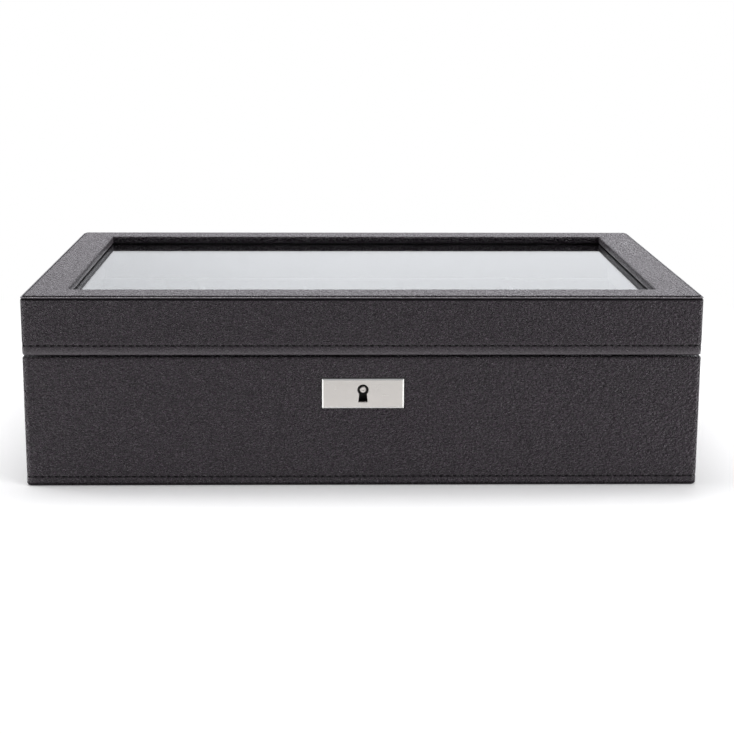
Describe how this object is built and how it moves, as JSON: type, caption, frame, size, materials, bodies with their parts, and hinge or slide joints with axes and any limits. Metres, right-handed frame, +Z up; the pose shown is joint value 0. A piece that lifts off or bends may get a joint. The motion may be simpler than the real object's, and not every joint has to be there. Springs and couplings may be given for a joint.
{
  "type": "watch box",
  "caption": "Leather-covered watch box with a glazed hinged lid, a lock on the front, and lined compartments that each hold a soft watch cushion.",
  "frame": {"origin": "on the table under the middle of the box, on the underside of the felt", "axes": "+X to the right seen from the front, +Y to the back where the hinges are, +Z up"},
  "size_m": [0.336, 0.2333, 0.0962],
  "materials": {
    "leather": "satin",
    "board": "matte",
    "lining_suede": "matte",
    "cushion_suede": "matte",
    "felt": "matte",
    "glass": "polished",
    "nickel": "satin",
    "lock_steel": "satin",
    "bumper": "satin"
  },
  "bodies": {
    "base": {"base_front_wall": "board", "base_back_wall": "board", "base_left_wall": "board", "base_right_wall": "board", "base_floor": "board", "base_felt": "felt", "base_leather": "leather", "base_lining_front": "lining_suede", "base_lining_back": "lining_suede", "base_lining_left": "lining_suede", "base_lining_right": "lining_suede", "floor_lining": "lining_suede", "divider_long": "lining_suede", "divider_cross_1": "lining_suede", "divider_cross_2": "lining_suede", "divider_cross_3": "lining_suede", "divider_cross_4": "lining_suede", "lock_plate": "nickel", "lock_case": "lock_steel", "lock_cap": "lock_steel", "lock_pin": "nickel", "lock_spring": "lock_steel", "lock_screws": "lock_steel", "hinge_base_leaf_left": "nickel", "hinge_base_leaf_right": "nickel", "hinge_pin_left": "nickel", "hinge_pin_right": "nickel", "hinge_base_screws": "nickel"},
    "lid": {"lid_front_wall": "board", "lid_back_wall": "board", "lid_left_wall": "board", "lid_right_wall": "board", "lid_top_frame": "board", "lid_side_leather": "leather", "lid_top_leather": "leather", "lid_glass": "glass", "glass_retainer_front": "lining_suede", "glass_retainer_back": "lining_suede", "glass_retainer_left": "lining_suede", "glass_retainer_right": "lining_suede", "lid_catch": "nickel", "catch_screws": "nickel", "lid_bumpers": "bumper", "hinge_lid_leaf_left": "nickel", "hinge_lid_leaf_right": "nickel", "hinge_lid_screws": "nickel"},
    "lock_bolt": {"lock_bolt": "lock_steel"},
    "cushion_front_1": {"cushion_front_1": "cushion_suede"},
    "cushion_front_2": {"cushion_front_2": "cushion_suede"},
    "cushion_front_3": {"cushion_front_3": "cushion_suede"},
    "cushion_front_4": {"cushion_front_4": "cushion_suede"},
    "cushion_front_5": {"cushion_front_5": "cushion_suede"},
    "cushion_back_1": {"cushion_back_1": "cushion_suede"},
    "cushion_back_2": {"cushion_back_2": "cushion_suede"},
    "cushion_back_3": {"cushion_back_3": "cushion_suede"},
    "cushion_back_4": {"cushion_back_4": "cushion_suede"},
    "cushion_back_5": {"cushion_back_5": "cushion_suede"}
  },
  "joints": [
    {"name": "lid_hinge", "type": "hinge", "parent": "base", "child": "lid", "pos_m": [0, 0.1165, 0.0662], "axis": [-1, 0, 0], "range_deg": [0, 100]},
    {"name": "lock_bolt_slide", "type": "slide", "parent": "base", "child": "lock_bolt", "axis": [1, 0, 0], "range_m": [0, 0.003]},
    {"name": "cushion_front_1_lift", "type": "slide", "parent": "base", "child": "cushion_front_1", "axis": [0, 0, 1], "range_m": [0, 0.03]},
    {"name": "cushion_front_2_lift", "type": "slide", "parent": "base", "child": "cushion_front_2", "axis": [0, 0, 1], "range_m": [0, 0.03]},
    {"name": "cushion_front_3_lift", "type": "slide", "parent": "base", "child": "cushion_front_3", "axis": [0, 0, 1], "range_m": [0, 0.03]},
    {"name": "cushion_front_4_lift", "type": "slide", "parent": "base", "child": "cushion_front_4", "axis": [0, 0, 1], "range_m": [0, 0.03]},
    {"name": "cushion_front_5_lift", "type": "slide", "parent": "base", "child": "cushion_front_5", "axis": [0, 0, 1], "range_m": [0, 0.03]},
    {"name": "cushion_back_1_lift", "type": "slide", "parent": "base", "child": "cushion_back_1", "axis": [0, 0, 1], "range_m": [0, 0.03]},
    {"name": "cushion_back_2_lift", "type": "slide", "parent": "base", "child": "cushion_back_2", "axis": [0, 0, 1], "range_m": [0, 0.03]},
    {"name": "cushion_back_3_lift", "type": "slide", "parent": "base", "child": "cushion_back_3", "axis": [0, 0, 1], "range_m": [0, 0.03]},
    {"name": "cushion_back_4_lift", "type": "slide", "parent": "base", "child": "cushion_back_4", "axis": [0, 0, 1], "range_m": [0, 0.03]},
    {"name": "cushion_back_5_lift", "type": "slide", "parent": "base", "child": "cushion_back_5", "axis": [0, 0, 1], "range_m": [0, 0.03]}
  ]
}
